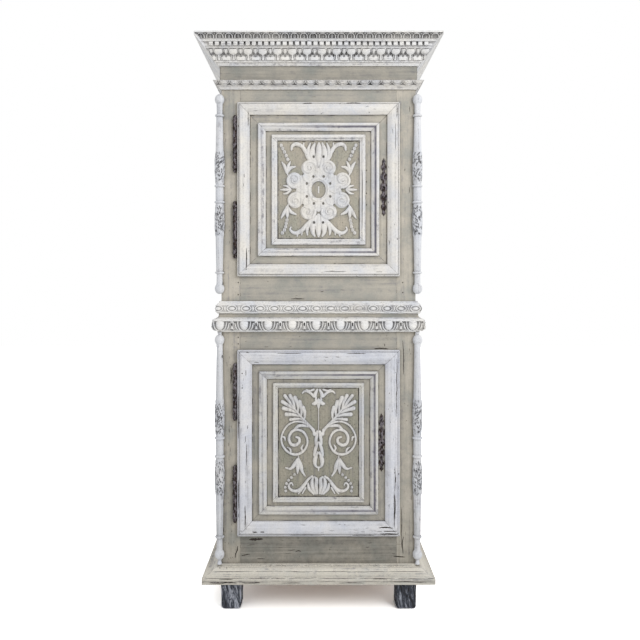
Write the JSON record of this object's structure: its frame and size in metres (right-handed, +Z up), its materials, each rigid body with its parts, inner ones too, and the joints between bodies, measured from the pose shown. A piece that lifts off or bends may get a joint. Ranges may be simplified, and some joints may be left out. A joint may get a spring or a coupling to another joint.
{
  "type": "tiered carved cupboard",
  "caption": "Tall tiered painted cupboard with carved panelled doors, turned corner columns, deep moulded crown and block feet; the doors swing on iron hinges and lock.",
  "frame": {"origin": "on the floor, under the middle of the object's outline seen from above", "axes": "+Z up, -Y towards the doors' front, +X to the right of someone facing the doors"},
  "size_m": [0.866, 0.564, 2.05],
  "materials": {
    "white_paint": "worn cream-white distemper over wood",
    "grey_paint": "worn grey-beige distemper over wood",
    "bare_oak": "unpainted aged oak",
    "dark_oak_feet": "rough blackened oak with pale streaks",
    "forged_iron": "dark pitted forged iron"
  },
  "bodies": {
    "cabinet": {"base_board": "bare_oak", "base_moulding": "white_paint", "crown_board": "bare_oak", "crown_dentils": "white_paint", "crown_moulding": "white_paint", "foot_front_left": "dark_oak_feet", "foot_front_right": "dark_oak_feet", "foot_rear_left": "dark_oak_feet", "foot_rear_right": "dark_oak_feet", "frieze": "grey_paint", "hinge_pins": "forged_iron", "lower_back": "bare_oak", "lower_column_left": "white_paint", "lower_column_right": "white_paint", "lower_floor": "bare_oak", "lower_front_rails": "grey_paint", "lower_hinge_case_halves": "forged_iron", "lower_post_left": "grey_paint", "lower_post_right": "grey_paint", "lower_shelf": "bare_oak", "lower_side_left": "grey_paint", "lower_side_right": "grey_paint", "lower_top": "bare_oak", "neck_moulding": "white_paint", "shelf_cleats": "bare_oak", "strike_plates": "forged_iron", "upper_back": "bare_oak", "upper_column_left": "white_paint", "upper_column_right": "white_paint", "upper_floor": "bare_oak", "upper_front_rails": "grey_paint", "upper_hinge_case_halves": "forged_iron", "upper_post_left": "grey_paint", "upper_post_right": "grey_paint", "upper_shelf": "bare_oak", "upper_side_left": "grey_paint", "upper_side_right": "grey_paint", "upper_top": "bare_oak", "waist_cove": "grey_paint", "waist_egg_moulding": "white_paint", "waist_guilloche_moulding": "white_paint"},
    "upper_door": {"upper_door_frame": "grey_paint", "upper_door_inner_moulding": "white_paint", "upper_door_outer_moulding": "white_paint", "upper_door_panel": "grey_paint", "upper_door_tablet_moulding": "white_paint", "upper_escutcheon": "forged_iron", "upper_hinge_door_halves": "forged_iron", "upper_lock_case": "forged_iron"},
    "lower_door": {"lower_door_frame": "grey_paint", "lower_door_inner_moulding": "white_paint", "lower_door_outer_moulding": "white_paint", "lower_door_panel": "grey_paint", "lower_door_tablet_moulding": "white_paint", "lower_escutcheon": "forged_iron", "lower_hinge_door_halves": "forged_iron", "lower_lock_case": "forged_iron"},
    "upper_bolt": {"upper_lock_bolt": "forged_iron"},
    "lower_bolt": {"lower_lock_bolt": "forged_iron"}
  },
  "joints": [
    {"name": "upper_door_swing", "type": "hinge", "parent": "cabinet", "child": "upper_door", "pos_m": [-0.2999, -0.2069, 1.519], "axis": [0, 0, -1], "range_deg": [0, 110]},
    {"name": "lower_door_swing", "type": "hinge", "parent": "cabinet", "child": "lower_door", "pos_m": [-0.2999, -0.2069, 0.6005], "axis": [0, 0, -1], "range_deg": [0, 110]},
    {"name": "upper_bolt_slide", "type": "slide", "parent": "upper_door", "child": "upper_bolt", "axis": [1, 0, 0], "range_m": [0, 0.012]},
    {"name": "lower_bolt_slide", "type": "slide", "parent": "lower_door", "child": "lower_bolt", "axis": [1, 0, 0], "range_m": [0, 0.012]}
  ]
}
